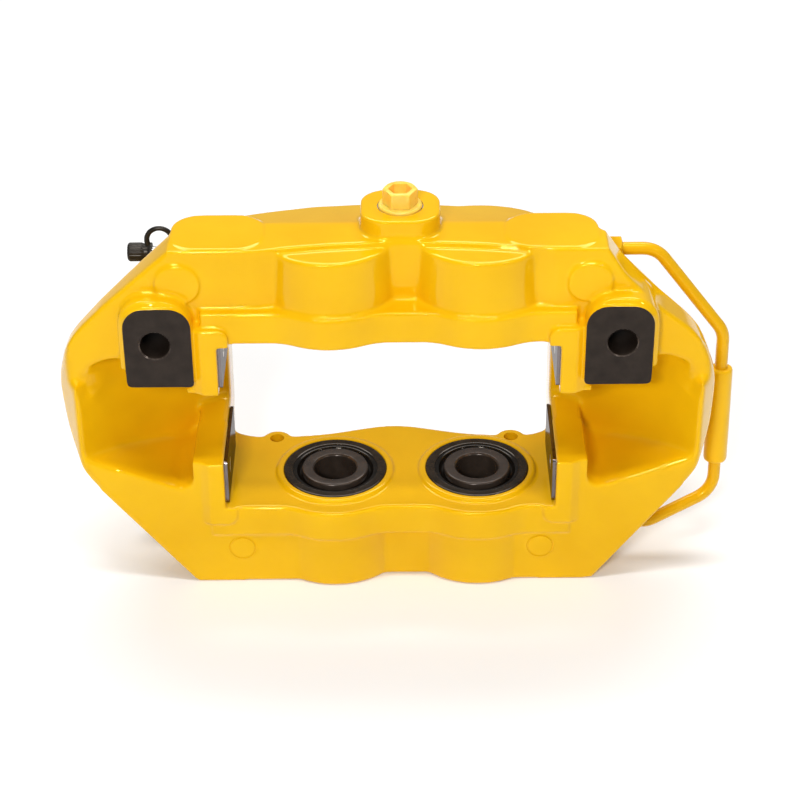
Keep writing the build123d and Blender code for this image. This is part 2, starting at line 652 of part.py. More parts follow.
# ================================================================ crossover pipe, sleeve and nuts
def bent_path(corners, radius):
    """A polyline through the corners with every bend rounded to the same radius."""
    with BuildLine() as path:
        start = corners[0]
        for before, corner, after in zip(corners, corners[1:], corners[2:]):
            into, out = (corner - before).normalized(), (after - corner).normalized()
            turn = math.radians(into.get_angle(out))
            setback = radius * math.tan(turn / 2)
            arc_start, arc_end = corner - into * setback, corner + out * setback
            to_centre = (out - into).normalized()
            middle = corner + to_centre * (radius / math.cos(turn / 2) - radius)
            Line(start, arc_start)
            ThreePointArc(arc_start, middle, arc_end)
            start = arc_end
        Line(start, corners[-1])
    return path.wire()


pipe_corners = [Vector(x, y, level(height)) for x, y, height in PIPE_CORNERS]
pipe_path = bent_path(pipe_corners, PIPE_BEND_R)
with BuildPart() as crossover_pipe:
    with BuildSketch(Plane.YZ.offset(PIPE_START_X)):
        with Locations((pipe_corners[0].Y, pipe_corners[0].Z)):
            Circle(PIPE_OD / 2)
            Circle(PIPE_ID / 2, mode=Mode.SUBTRACT)
    sweep(path=pipe_path)
save(crossover_pipe, "crossover_pipe")

run_start, run_end = pipe_corners[2], pipe_corners[3]
sleeve_start = run_start + (run_end - run_start) * SLEEVE_ENDS[0]
sleeve_end = run_start + (run_end - run_start) * SLEEVE_ENDS[1]
with BuildPart() as pipe_sleeve:
    with BuildSketch(Plane(origin=sleeve_start, z_dir=run_end - run_start)):
        Circle(SLEEVE_OD / 2)
        Circle(PIPE_OD / 2 + FIT, mode=Mode.SUBTRACT)
    extrude(amount=(sleeve_end - sleeve_start).length)
save(pipe_sleeve, "pipe_sleeve")

for half, half_name in SIDES:
    y, z = PIPE_PORTS[half][0], level(half * PIPE_PORTS[half][1])
    with BuildPart() as pipe_nut:
        thread_start = PORT_FACE_X - PORT_THREAD_DEPTH + 2
        x_cylinder(y, z, thread_start, PORT_FACE_X + 1, PORT_THREAD_D - 2 * FIT)
        with BuildSketch(Plane.YZ.offset(PORT_FACE_X + FIT)):
            with Locations((y, z)):
                RegularPolygon(NUT_ACROSS_FLATS / math.sqrt(3), 6)
        extrude(amount=NUT_HEX_L)
        x_cylinder(
            y, z, thread_start - 1, PORT_FACE_X + NUT_HEX_L + 1, PIPE_OD + 2 * FIT,
            mode=Mode.SUBTRACT,
        )
    save(pipe_nut, f"pipe_nut_{half_name}")


# ================================================================ bleed screws and their caps
for half, half_name in SIDES:
    y, z = BLEED_PORTS[half][0], level(half * BLEED_PORTS[half][1])
    thread_end = BLEED_FACE_X + BLEED_THREAD_DEPTH - 1

    with BuildPart() as bleed_screw:
        x_cylinder(y, z, BLEED_FACE_X - 1, thread_end, BLEED_THREAD_D - 2 * FIT)
        with BuildSketch(Plane.YZ.offset(BLEED_FACE_X - BLEED_HEX[1])):
            with Locations((y, z)):
                RegularPolygon(BLEED_HEX_FLATS / math.sqrt(3), 6)
        extrude(amount=BLEED_HEX[1] - BLEED_HEX[0])
        x_cylinder(y, z, BLEED_FACE_X - NIPPLE_END, BLEED_FACE_X - 1, NIPPLE_D)
        x_cylinder(
            y, z, BLEED_FACE_X - NIPPLE_END - 1, BLEED_FACE_X + 4, BLEED_BORE_D,
            mode=Mode.SUBTRACT,
        )
    save(bleed_screw, f"bleed_screw_{half_name}")

    with BuildPart() as bleed_cap:
        x_cylinder(y, z, BLEED_FACE_X - CAP_ENDS[1], BLEED_FACE_X - CAP_ENDS[0], CAP_OD)
        x_cylinder(y, z, BLEED_FACE_X - LOOP_ENDS[1], BLEED_FACE_X - LOOP_ENDS[0], LOOP_OD)
        strap_x, strap_foot = BLEED_FACE_X - STRAP_DISTANCE, z + half * (CAP_OD / 2 - 1.2)
        with BuildSketch(Plane.XZ.offset(-y - STRAP_W / 2)) as strap:
            with Locations((strap_x, z + half * STRAP_LIFT)):
                Circle(STRAP_R)
                Circle(STRAP_R - STRAP_T, mode=Mode.SUBTRACT)
            with Locations((strap_x, strap_foot - half * 10)):
                Rectangle(30, 20, mode=Mode.SUBTRACT)
        extrude(amount=STRAP_W)
        x_cylinder(
            y, z, BLEED_FACE_X - NIPPLE_END - 0.4, BLEED_FACE_X, CAP_ID, mode=Mode.SUBTRACT
        )
    save(bleed_cap, f"bleed_cap_{half_name}")


# ================================================================ shipping plug in the inlet port
recess_floor = level(TOP_HALF) + INLET_BOSS_H - INLET_SPOT_DEPTH + FIT
with BuildPart() as port_plug:
    z_cylinder(INLET_X, INLET_Y, recess_floor - PLUG_SHANK_L, recess_floor + 1, INLET_D - 2 * FIT)
    z_cylinder(INLET_X, INLET_Y, recess_floor, recess_floor + PLUG_FLANGE_T, PLUG_FLANGE_D)
    with BuildSketch(Plane.XY.offset(recess_floor)):
        with Locations((INLET_X, INLET_Y)):
            RegularPolygon(PLUG_HEX_FLATS / math.sqrt(3), 6, rotation=30)
    extrude(amount=PLUG_H)
    z_cylinder(
        INLET_X, INLET_Y, recess_floor + PLUG_H - PLUG_HOLLOW_DEPTH, recess_floor + PLUG_H + 1,
        PLUG_HOLLOW_D, mode=Mode.SUBTRACT,
    )
save(port_plug, "port_plug")
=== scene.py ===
"""Looks of a four-piston fixed brake caliper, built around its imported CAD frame."""

import math

import bmesh
import bpy
import numpy as np
from mathutils import Matrix, Vector


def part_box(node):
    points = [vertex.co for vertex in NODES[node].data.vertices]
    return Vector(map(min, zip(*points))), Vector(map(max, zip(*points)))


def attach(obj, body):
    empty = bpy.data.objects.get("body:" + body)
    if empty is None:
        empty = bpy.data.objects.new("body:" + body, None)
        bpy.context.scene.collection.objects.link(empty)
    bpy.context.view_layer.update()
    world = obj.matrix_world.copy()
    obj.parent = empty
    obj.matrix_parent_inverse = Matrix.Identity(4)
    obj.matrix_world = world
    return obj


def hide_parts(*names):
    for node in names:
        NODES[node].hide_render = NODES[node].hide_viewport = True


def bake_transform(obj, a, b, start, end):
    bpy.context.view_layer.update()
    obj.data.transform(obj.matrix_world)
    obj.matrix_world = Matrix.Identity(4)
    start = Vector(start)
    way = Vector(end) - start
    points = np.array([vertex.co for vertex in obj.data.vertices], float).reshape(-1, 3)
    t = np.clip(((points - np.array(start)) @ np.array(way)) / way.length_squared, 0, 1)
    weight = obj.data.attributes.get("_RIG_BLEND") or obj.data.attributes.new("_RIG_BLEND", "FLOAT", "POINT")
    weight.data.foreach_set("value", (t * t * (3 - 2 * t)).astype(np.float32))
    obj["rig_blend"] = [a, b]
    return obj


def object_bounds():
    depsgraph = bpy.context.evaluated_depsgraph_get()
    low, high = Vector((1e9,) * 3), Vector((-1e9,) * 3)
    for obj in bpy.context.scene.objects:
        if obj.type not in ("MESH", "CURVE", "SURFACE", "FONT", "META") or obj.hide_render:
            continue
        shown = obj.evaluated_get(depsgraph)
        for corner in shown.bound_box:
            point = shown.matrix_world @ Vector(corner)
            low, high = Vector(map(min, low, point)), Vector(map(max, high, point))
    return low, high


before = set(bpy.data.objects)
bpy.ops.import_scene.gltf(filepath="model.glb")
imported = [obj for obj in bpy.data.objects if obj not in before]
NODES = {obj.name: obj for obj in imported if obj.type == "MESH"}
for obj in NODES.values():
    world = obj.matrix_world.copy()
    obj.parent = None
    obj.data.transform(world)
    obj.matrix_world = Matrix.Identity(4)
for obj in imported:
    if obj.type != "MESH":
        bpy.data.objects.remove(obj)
CAD_BOX = [list(corner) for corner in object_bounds()]
MM = 0.001
MERGE = 1e-7  # vertices nearer than this are one
HALVES = (("outboard", 1), ("inboard", -1))  # half: sign of Z towards the disc
ENDS = ("left", "right")


def centre(node):
    """Middle of a CAD node's box."""
    low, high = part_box(node)
    return (low + high) / 2


# ================================================================ materials
def material(name, colour, roughness=0.4, metallic=0.0, **sockets):
    """A Principled material, with constants set on the shader's own sockets."""
    made = bpy.data.materials.new(name)
    made.use_nodes = True
    shader = made.node_tree.nodes["Principled BSDF"]
    shader.inputs["Base Color"].default_value = (*colour, 1)
    shader.inputs["Roughness"].default_value = roughness
    shader.inputs["Metallic"].default_value = metallic
    for socket, value in sockets.items():
        shader.inputs[socket.replace("_", " ")].default_value = value
    return made


def noise(made, scale, detail=3.0, stretch=(1, 1, 1)):
    """A noise texture in the piece's own space, in metres times scale."""
    nodes, links = made.node_tree.nodes, made.node_tree.links
    where = nodes.new("ShaderNodeTexCoord")
    mapping = nodes.new("ShaderNodeMapping")
    mapping.inputs["Scale"].default_value = stretch
    texture = nodes.new("ShaderNodeTexNoise")
    texture.inputs["Scale"].default_value = scale
    texture.inputs["Detail"].default_value = detail
    links.new(where.outputs["Object"], mapping.inputs["Vector"])
    links.new(mapping.outputs["Vector"], texture.inputs["Vector"])
    return texture.outputs["Fac"]


def ramp(made, source, stops):
    """A colour ramp over a grey value."""
    node = made.node_tree.nodes.new("ShaderNodeValToRGB")
    elements = node.color_ramp.elements
    for index, (place, colour) in enumerate(stops):
        element = elements[index] if index < 2 else elements.new(place)
        element.position, element.color = place, (*colour, 1)
    made.node_tree.links.new(source, node.inputs["Fac"])
    return node.outputs["Color"]


def spread(made, source, low, high):
    """A grey value stretched to low..high."""
    node = made.node_tree.nodes.new("ShaderNodeMapRange")
    node.inputs["To Min"].default_value = low
    node.inputs["To Max"].default_value = high
    made.node_tree.links.new(source, node.inputs["Value"])
    return node.outputs["Result"]


def bump(made, source, depth, distance=0.0001):
    """Adds one bump to the material; several can be chained."""
    nodes, links = made.node_tree.nodes, made.node_tree.links
    shader = nodes["Principled BSDF"]
    node = nodes.new("ShaderNodeBump")
    node.inputs["Strength"].default_value = depth
    node.inputs["Distance"].default_value = distance
    links.new(source, node.inputs["Height"])
    if shader.inputs["Normal"].is_linked:
        links.new(shader.inputs["Normal"].links[0].from_socket, node.inputs["Normal"])
    links.new(node.outputs["Normal"], shader.inputs["Normal"])


PAINT_COAT, COAT_ROUGHNESS = 0.2, 0.03
WARM_REFLECTION = (1, 0.85, 0.08, 1)


def paint(name, colour, gloss=0.07):
    """Thick glossy paint, slightly uneven, over a sand casting."""
    made = material(
        name, colour, gloss, Coat_Weight=PAINT_COAT, Coat_Roughness=COAT_ROUGHNESS,
        Specular_IOR_Level=0.5, Specular_Tint=WARM_REFLECTION,
    )
    links, shader = made.node_tree.links, made.node_tree.nodes["Principled BSDF"]
    low = (colour[0] * 0.96, colour[1] * 0.93, colour[2] * 0.8)
    high = (min(1, colour[0] * 1.04), colour[1] * 1.07, colour[2] * 1.5)
    cloud = ramp(made, noise(made, 22, 4), ((0.3, low), (0.7, high)))
    uneven = spread(made, noise(made, 90, 3), gloss * 0.75, gloss * 1.4)
    links.new(cloud, shader.inputs["Base Color"])
    links.new(uneven, shader.inputs["Roughness"])
    bump(made, noise(made, 650, 2), 0.06, 0.00006)
    bump(made, noise(made, 120, 3), 0.06, 0.0003)
    return made


def turned_metal(name, colour, roughness, metallic):
    """Satin turned metal, with an uneven gloss and a fine grain."""
    made = material(name, colour, roughness, metallic)
    links, shader = made.node_tree.links, made.node_tree.nodes["Principled BSDF"]
    low = tuple(c * 0.8 for c in colour)
    high = tuple(min(1, c * 1.25) for c in colour)
    cloud = ramp(made, noise(made, 160, 4), ((0.3, low), (0.7, high)))
    uneven = spread(made, noise(made, 500, 3, (1, 1, 6)), roughness * 0.75, roughness * 1.3)
    links.new(cloud, shader.inputs["Base Color"])
    links.new(uneven, shader.inputs["Roughness"])
    bump(made, noise(made, 1500, 2), 0.08, 0.00005)
    return made


def rubber(name, colour=(0.014, 0.012, 0.011), roughness=0.42):
    """Moulded rubber, with a faint bloom and grain."""
    made = material(
        name, colour, roughness, Specular_IOR_Level=0.3, Specular_Tint=(1, 0.88, 0.76, 1)
    )
    links, shader = made.node_tree.links, made.node_tree.nodes["Principled BSDF"]
    dusty = tuple(c * 1.9 + 0.004 for c in colour)
    bloom = ramp(made, noise(made, 240, 5), ((0.35, colour), (0.8, dusty)))
    gloss = spread(made, noise(made, 300, 4), roughness * 0.7, roughness * 1.3)
    links.new(bloom, shader.inputs["Base Color"])
    links.new(gloss, shader.inputs["Roughness"])
    bump(made, noise(made, 700, 3), 0.06, 0.00006)
    return made


def brushed(name, colour, stretch, roughness=0.28, edge=(1, 1, 1)):
    """Brushed steel, grained along one direction, with its own tint at grazing angles."""
    made = material(name, colour, roughness, 1.0, Specular_Tint=(*edge, 1))
    links, shader = made.node_tree.links, made.node_tree.nodes["Principled BSDF"]
    grain = noise(made, 900, 3, stretch)
    low, high = tuple(c * 0.82 for c in colour), tuple(min(1, c * 1.1) for c in colour)
    links.new(ramp(made, grain, ((0.3, low), (0.7, high))), shader.inputs["Base Color"])
    links.new(spread(made, grain, roughness * 0.7, roughness * 1.4), shader.inputs["Roughness"])
    bump(made, grain, 0.08, 0.00005)
    return made


def machined_black(name):
    """Dark conversion-coated machined face, milled in fine overlapping passes."""
    made = material(name, (0.020, 0.013, 0.009), 0.5, Specular_IOR_Level=0.16)
    links, shader = made.node_tree.links, made.node_tree.nodes["Principled BSDF"]
    cloud = ramp(
        made, noise(made, 130, 5), ((0.3, (0.016, 0.010, 0.007)), (0.75, (0.030, 0.021, 0.015)))
    )
    links.new(cloud, shader.inputs["Base Color"])
    links.new(spread(made, noise(made, 500, 3, (8, 1, 1)), 0.34, 0.52), shader.inputs["Roughness"])
    bump(made, noise(made, 900, 2, (6, 1, 1)), 0.1, 0.00005)
    return made


def plastic(name):
    """Thin yellow moulded plastic that lets light through."""
    made = material(
        name, (0.95, 0.60, 0.08), 0.3, Subsurface_Weight=0.5, Subsurface_Scale=0.004, IOR=1.5
    )
    shader = made.node_tree.nodes["Principled BSDF"]
    shader.inputs["Subsurface Radius"].default_value = (1.0, 0.6, 0.15)
    links = made.node_tree.links
    tint = ramp(made, noise(made, 150, 3), ((0.3, (0.93, 0.54, 0.06)), (0.7, (0.97, 0.64, 0.11))))
    links.new(tint, shader.inputs["Base Color"])
    links.new(spread(made, noise(made, 350, 3), 0.22, 0.4), shader.inputs["Roughness"])
    bump(made, noise(made, 600, 2), 0.06, 0.00008)
    return made


PAINT = paint("caliper_paint", (0.80, 0.44, 0.0026))
PIPE_PAINT = paint("pipe_paint", (0.77, 0.41, 0.004), gloss=0.24)
SLEEVE_PAINT = paint("sleeve_paint", (0.84, 0.47, 0.006), gloss=0.3)
BLACK_FACE = machined_black("machined_face")
BLACK_EDGE = turned_metal("machined_edge", (0.075, 0.056, 0.044), 0.26, 0.6)
BARE = brushed("bare_aluminium", (0.66, 0.66, 0.67), (1, 1, 8), 0.3)
PISTON = turned_metal("piston_anodised", (0.056, 0.040, 0.030), 0.24, 0.35)
RING = rubber("ring_coated", (0.018, 0.012, 0.007), 0.08)
BOOT = rubber("boot_rubber", (0.005, 0.0036, 0.0025), 0.13)
CAP = rubber("cap_rubber", (0.010, 0.009, 0.008), 0.34)
SEAL = rubber("seal_rubber")
# Stainless grey, darkened well below real stainless and given a dark grazing tint: painted shade standing in
# for the darker surroundings that the plates reflect.
SHADE_DARKENED_PLATE = brushed(
    "abutment_stainless_painted_shade", (0.2, 0.175, 0.175), (0.15, 1, 0.15), 0.16, edge=(0.22, 0.2, 0.2)
)
STEEL = brushed("zinc_steel", (0.62, 0.61, 0.60), (1, 1, 1), 0.3)
PLUG = plastic("plug_plastic")


# ================================================================ mesh helpers
def add_piece(name, verts, faces, made, body, replaces=(), smooth=35):
    """A mesh piece that rides on a CAD body and may stand in for CAD nodes."""
    mesh = bpy.data.meshes.new(name)
    mesh.from_pydata([tuple(v) for v in verts], [], faces)
    return finish_piece(mesh, name, made, body, replaces, smooth)


def finish_piece(mesh, name, made, body, replaces=(), smooth=35):
    """Shading, material and body for a finished mesh."""
    work = bmesh.new()
    work.from_mesh(mesh)
    bmesh.ops.remove_doubles(work, verts=work.verts, dist=MERGE)
    bmesh.ops.recalc_face_normals(work, faces=work.faces)
    work.to_mesh(mesh)
    work.free()
    piece = bpy.data.objects.new(name, mesh)
    bpy.context.scene.collection.objects.link(piece)
    mesh.shade_smooth()
    mesh.set_sharp_from_angle(angle=math.radians(smooth))
    if made is not None:
        mesh.materials.append(made)
    if body is not None:
        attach(piece, body)
    if replaces:
        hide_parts(*replaces)
    return piece


ARC_STEPS = 4


def softened(points, closed):
    """Profile corners (a, b, radius) turned into small arcs."""
    out = []
    count = len(points)
    for index, (a, b, radius) in enumerate(points):
        if radius <= 0 or (not closed and index in (0, count - 1)):
            out.append((a, b))
            continue
        here = Vector((a, b))
        before = Vector(points[index - 1][:2]) - here
        after = Vector(points[(index + 1) % count][:2]) - here
        reach = min(radius, before.length * 0.45, after.length * 0.45)
        start, end = here + before.normalized() * reach, here + after.normalized() * reach
        for step in range(ARC_STEPS + 1):
            t = step / ARC_STEPS
            p = start * (1 - t) ** 2 + here * 2 * t * (1 - t) + end * t**2
            out.append((p.x, p.y))
    return out


def basis(axis):
    """Two directions square to an axis."""
    axis = Vector(axis).normalized()
    side = Vector((0, 0, 1)) if abs(axis.z) < 0.9 else Vector((1, 0, 0))
    u = side.cross(axis).normalized()
    return axis, u, axis.cross(u)


def lathe_data(profile, origin, axis, closed=True, steps=96, ripple=None):
    """Vertices and faces of a (radius, height) profile in mm turned about an axis."""
    axis, u, v = basis(axis)
    outline = softened(profile, closed)
    verts, faces, rings = [], [], []
    for r, h in outline:
        if r < 1e-6:
            rings.append([len(verts)] * steps)
            verts.append(origin + axis * h * MM)
            continue
        rings.append(list(range(len(verts), len(verts) + steps)))
        for k in range(steps):
            angle = 2 * math.pi * k / steps
            rr = r if ripple is None else ripple(r, h, angle)
            spoke = u * math.cos(angle) + v * math.sin(angle)
            verts.append(origin + spoke * rr * MM + axis * h * MM)
    pairs = list(zip(rings, rings[1:]))
    if closed:
        pairs.append((rings[-1], rings[0]))
    for first, second in pairs:
        for k in range(steps):
            n = (k + 1) % steps
            corners = [first[k], first[n], second[n], second[k]]
            unique = list(dict.fromkeys(corners))
            if len(unique) > 2:
                faces.append(unique)
    return verts, faces


def joined(*parts):
    """Several (verts, faces) sets as one."""
    verts, faces = [], []
    for v, f in parts:
        shift = len(verts)
        verts += list(v)
        faces += [[i + shift for i in face] for face in f]
    return verts, faces


def tube_data(path, radius, steps=32, caps=True, inner=None):
    """A tube along points, with frames carried along without twist."""
    path = [Vector(p) for p in path]
    tangents = []
    for k in range(len(path)):
        tangents.append((path[min(k + 1, len(path) - 1)] - path[max(k - 1, 0)]).normalized())
    _, u, _ = basis(tangents[0])
    verts, faces, rings = [], [], []
    radii = radius if hasattr(radius, "__len__") else [radius] * len(path)
    for p, t, r in zip(path, tangents, radii):
        u = (u - t * u.dot(t)).normalized()
        v = t.cross(u)
        rings.append(list(range(len(verts), len(verts) + steps)))
        for k in range(steps):
            angle = 2 * math.pi * k / steps
            verts.append(p + (u * math.cos(angle) + v * math.sin(angle)) * r)
    for first, second in zip(rings, rings[1:]):
        for k in range(steps):
            n = (k + 1) % steps
            faces.append([first[k], first[n], second[n], second[k]])
    if caps:
        faces.append(list(reversed(rings[0])))
        faces.append(list(rings[-1]))
    return verts, faces


HEX_STEPS, CHAMFER_LEVELS = 120, 5
CHAMFER_SLOPE = math.tan(math.radians(30))
HOLE_CHAMFER = 0.25
CORNER_EASE = 0.985  # how much of a hexagon's sharp corner is left
CENTRE_R = 0.01  # a point-like ring that closes a blind hole


def hex_ring_data(flats, bottom, top, origin, axis, hole=0.0, turn=0.0, both=True, hex_hole=0.0,
                  floor=None, soft=False):
    """A hexagon with turned chamfers and a round or hexagonal hole, all in mm."""
    axis, u, v = basis(axis)
    corner = flats / math.sqrt(3)
    rim = flats / 2 * (0.985 if soft else 0.96)

    def reach(k, width):
        """Distance from the middle to the hexagon's side, with slightly eased corners."""
        sector = (2 * math.pi * k / HEX_STEPS - turn) % (math.pi / 3) - math.pi / 6
        sharp = width / 2 / math.cos(sector)
        return min(sharp, width / math.sqrt(3) * CORNER_EASE)

    def row(radius, height):
        points = []
        for k in range(HEX_STEPS):
            angle = 2 * math.pi * k / HEX_STEPS
            spoke = u * math.cos(angle) + v * math.sin(angle)
            points.append(origin + spoke * radius(k) * MM + axis * height(k) * MM)
        return points

    def inner(k):
        return reach(k, hex_hole) if hex_hole else hole

    def side_row(limit, height, chamfer):
        """A row on the outside, drawn in by the turned chamfer up or down from a height."""
        def radius(k):
            return min(reach(k, flats), limit)

        return row(radius, lambda k: height + chamfer * max(0.0, radius(k) - rim) * CHAMFER_SLOPE)

    low = bottom if floor is None else floor
    rows = [row(inner, lambda k: low), row(inner, lambda k: top - HOLE_CHAMFER)]
    rows.append(row(lambda k: inner(k) + HOLE_CHAMFER, lambda k: top))
    limits = [rim + (corner - rim) * i / CHAMFER_LEVELS for i in range(CHAMFER_LEVELS + 1)]
    rows += [side_row(limit, top, -1) for limit in limits]
    if both:
        rows += [side_row(limit, bottom, 1) for limit in reversed(limits)]
    else:
        rows.append(side_row(corner, bottom, 0))
    if floor is None:
        rows.append(row(inner, lambda k: bottom))
    else:
        rows.append(row(lambda k: CENTRE_R, lambda k: bottom))
        rows.append(row(lambda k: CENTRE_R, lambda k: floor))
    verts = [p for points in rows for p in points]
    faces = []
    for i in range(len(rows)):
        a, b = i * HEX_STEPS, ((i + 1) % len(rows)) * HEX_STEPS
        for k in range(HEX_STEPS):
            n = (k + 1) % HEX_STEPS
            faces.append([a + k, a + n, b + n, b + k])
    return verts, faces


# ================================================================ the casting
# Lengths are in mm. "Height" is the distance from the disc's middle plane.
VOXEL = 0.6 * MM
SMOOTH_ROUNDS = 36
TRIANGLE_LIMIT = 160_000
DISC_Z = -47.0  # the disc's middle plane
DECK = 44.3  # height of the decks that the pistons come out of
RIM = 1.6  # the raised rim round each boot
SEAT_R, SEAT_DEPTH = 25.0, 2.4  # recess for the boot ring
BORE_R, BORE_DEPTH = 20.05, 22.9
CUP_R, CUP_DEPTH = 17.0, 31.9  # the bore's narrower inner end
BOSS_TOP = 51.4
INLET_R, INLET_THREAD_R, INLET_DEPTH = 10.5, 5.0, 19.0
INLET_FILL_Z = 31.0
LUG_X, LUG_FACE_X = 105.2, 103.9  # the lug holes, and the middle of each lug face
LUG_HOLE_R, SPOT_R, LUG_BACK_Y = 6.75, 13.5, 44.0
LUG_STOCK = 1.7  # what facing takes off each lug
LUG_HALF_WIDTH, LUG_TOP, LUG_BOTTOM = 14.8, 18.5, -21.3
LUG_TOP_R, LUG_BOTTOM_R, LUG_ARC_STEPS = 10, 2, 12
PIN_AT, PIN_Y, PIN_R = (-56.3, 59.7), 62.5, 3.5
PIN_DEPTH = {"outboard": 45.0, "inboard": 27.7}  # through, and blind
PIPE_PORT_R, BLEED_PORT_R = 5.0, 4.0
PIPE_SPOT_X, BLEED_SPOT_X = 96, 92  # faces that the nuts and bleed screws sit on
PIPE_FILL_X, BLEED_FILL_X = 80, 78  # where the fillers of the ports start
SCREW_Y, SCREW_HEIGHT, SCREW_R = 22, 32, 2.5  # holes of the abutment plates' screws
SCREW_START_X, SCREW_END_X = 77.9, 88
PIN_FILL_HEIGHT = 72.0
FILL = 0.2  # how much wider a filler is than the drilling it closes
PISTON_AT = {(half, end): centre(f"piston_{half}_{end}") for half, _ in HALVES for end in ENDS}
INLET = centre("port_plug")
PIPE_NUT = {half: centre(f"pipe_nut_{half}") for half, _ in HALVES}
BLEEDER = {half: centre(f"bleed_screw_{half}") for half, _ in HALVES}
GATES = ((-71.0, 3.5, -115.2), (71.5, 3.5, -115.2))  # round casting gates on the lower front
MARKS = ((-94.5, 8.9, 26.0), (90.5, 8.9, 26.0), *GATES)


def deck_z(sign):
    """The plane of one half's piston deck."""
    return DISC_Z - sign * DECK


def rod(x, y, z, axis, start, end, radius, steps=96):
    """A closed cylinder given in mm, between two distances along its axis."""
    outline = ((0, start, 0), (radius, start, 0), (radius, end, 0), (0, end, 0))
    return lathe_data(outline, Vector((x, y, z)) * MM, axis, closed=False, steps=steps)


def lug_slab(side, front, back, grow=0.0):
    """The outline of a machined lug face, extruded along Y."""
    half_width, top, bottom = LUG_HALF_WIDTH + grow, LUG_TOP + grow, LUG_BOTTOM - grow
    corners = (
        (half_width, bottom, LUG_BOTTOM_R), (half_width, top, LUG_TOP_R),
        (-half_width, top, LUG_TOP_R), (-half_width, bottom, LUG_BOTTOM_R),
    )
    middle = side * LUG_FACE_X
    outline = []
    for quarter, (x, z, radius) in enumerate(corners):
        cx, cz = x - math.copysign(radius, x), z - math.copysign(radius, z)
        start = 90 * (quarter - 1)
        for k in range(LUG_ARC_STEPS + 1):
            a = math.radians(start + 90 * k / LUG_ARC_STEPS)
            outline.append((middle + cx + radius * math.cos(a), cz + radius * math.sin(a)))
    count = len(outline)
    verts = [Vector((x, y, z)) * MM for y in (front, back) for x, z in outline]
    faces = [[k, (k + 1) % count, (k + 1) % count + count, k + count] for k in range(count)]
    faces += [list(range(count)), list(range(2 * count - 1, count - 1, -1))]
    return verts, faces


def plain_mesh(name, verts, faces):
    """A mesh from data, with its normals made consistent."""
    mesh = bpy.data.meshes.new(name)
    mesh.from_pydata([tuple(v) for v in verts], [], faces)
    work = bmesh.new()
    work.from_mesh(mesh)
    bmesh.ops.remove_doubles(work, verts=work.verts, dist=MERGE)
    bmesh.ops.recalc_face_normals(work, faces=work.faces)
    work.to_mesh(mesh)
    work.free()
    return mesh


def with_modifier(mesh, kind, **settings):
    """A new mesh: this one with one modifier applied."""
    piece = bpy.data.objects.new("work", mesh)
    bpy.context.scene.collection.objects.link(piece)
    added = piece.modifiers.new("work", kind)
    for key, value in settings.items():
        setattr(added, key, value)
    graph = bpy.context.evaluated_depsgraph_get()
    made = bpy.data.meshes.new_from_object(piece.evaluated_get(graph))
    bpy.data.objects.remove(piece)
    return made


def cut(mesh, cutters):
    """The mesh with closed cutters taken away."""
    tool = bpy.data.objects.new("cutter", plain_mesh("cutter", *joined(*cutters)))
    bpy.context.scene.collection.objects.link(tool)
    made = with_modifier(mesh, "BOOLEAN", operation="DIFFERENCE", object=tool, solver="MANIFOLD")
    bpy.data.objects.remove(tool)
    return made


def largest_island(mesh):
    """Only the mesh's largest connected part, which drops closed inner voids."""
    count = len(mesh.vertices)
    ends = np.empty(len(mesh.edges) * 2, np.int32)
    mesh.edges.foreach_get("vertices", ends)
    a, b = ends.reshape(-1, 2).T
    label = np.arange(count)
    while True:
        low = np.minimum(label[a], label[b])
        before = label.copy()
        np.minimum.at(label, a, low)
        np.minimum.at(label, b, low)
        label = label[label]
        if np.array_equal(before, label):
            break
    names, sizes = np.unique(label, return_counts=True)
    drop = label != names[sizes.argmax()]
    if drop.any():
        work = bmesh.new()
        work.from_mesh(mesh)
        work.verts.ensure_lookup_table()
        doomed = [work.verts[k] for k in np.nonzero(drop)[0]]
        bmesh.ops.delete(work, geom=doomed, context="VERTS")
        work.to_mesh(mesh)
        work.free()
    return mesh


def relax(mesh, rounds, share):
    """Pull each vertex towards its neighbours' mean, by its own share, which rounds every edge."""
    count = len(mesh.vertices)
    co = np.empty(count * 3, np.float64)
    mesh.vertices.foreach_get("co", co)
    co = co.reshape(-1, 3)
    ends = np.empty(len(mesh.edges) * 2, np.int32)
    mesh.edges.foreach_get("vertices", ends)
    a, b = ends.reshape(-1, 2).T
    degree = np.maximum(np.bincount(a, minlength=count) + np.bincount(b, minlength=count), 1)
    weight = share(co / MM)[:, None]
    for _ in range(rounds):
        sums = [
            np.bincount(a, co[b, k], count) + np.bincount(b, co[a, k], count) for k in range(3)
        ]
        co += weight * (np.stack(sums, 1) / degree[:, None] - co)
    mesh.vertices.foreach_set("co", co.astype(np.float32).ravel())
    mesh.update()


CAST_SHARE, POCKET_SHARE, COLUMN_SHARE, DECK_SHARE, MARK_SHARE = 0.26, 0.95, 0.09, 0.1, 0.16
BOSS_EDGE_SHARE, BOSS_FOOT_SHARE, TOP_PAD_SHARE = 0.06, 0.2, 0.05


